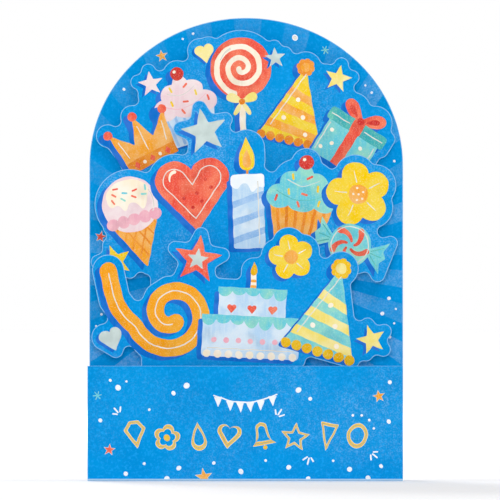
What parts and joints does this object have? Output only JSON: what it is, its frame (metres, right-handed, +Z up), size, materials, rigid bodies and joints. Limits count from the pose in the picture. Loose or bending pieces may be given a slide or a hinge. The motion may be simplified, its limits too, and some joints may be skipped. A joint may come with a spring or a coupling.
{
  "type": "pop up card",
  "caption": "Stand-up pop-up greeting card: arched back, low front panel and overlapping die-cut picture tiers on folded card spacers.",
  "frame": {"origin": "on the table, in the middle of the footprint, under the middle of the card's depth", "axes": "+X along the card's width towards the viewer's right, the printed front faces -Y, +Z up"},
  "size_m": [0.145, 0.0404, 0.2136],
  "materials": {
    "printed_board": "matt coated board, printed blue with a fine mottled grain, white core at the cut edges",
    "spacer_card": "plain white uncoated card"
  },
  "bodies": {
    "root": {"carrier": "printed_board", "tier_top": "printed_board", "tier_middle": "printed_board", "tier_bottom": "printed_board", "spacer_top_left": "spacer_card", "spacer_top_right": "spacer_card", "spacer_middle_left": "spacer_card", "spacer_middle_right": "spacer_card", "spacer_bottom_left": "spacer_card", "spacer_bottom_right": "spacer_card", "spacer_front_left": "spacer_card", "spacer_front_right": "spacer_card"}
  },
  "joints": []
}
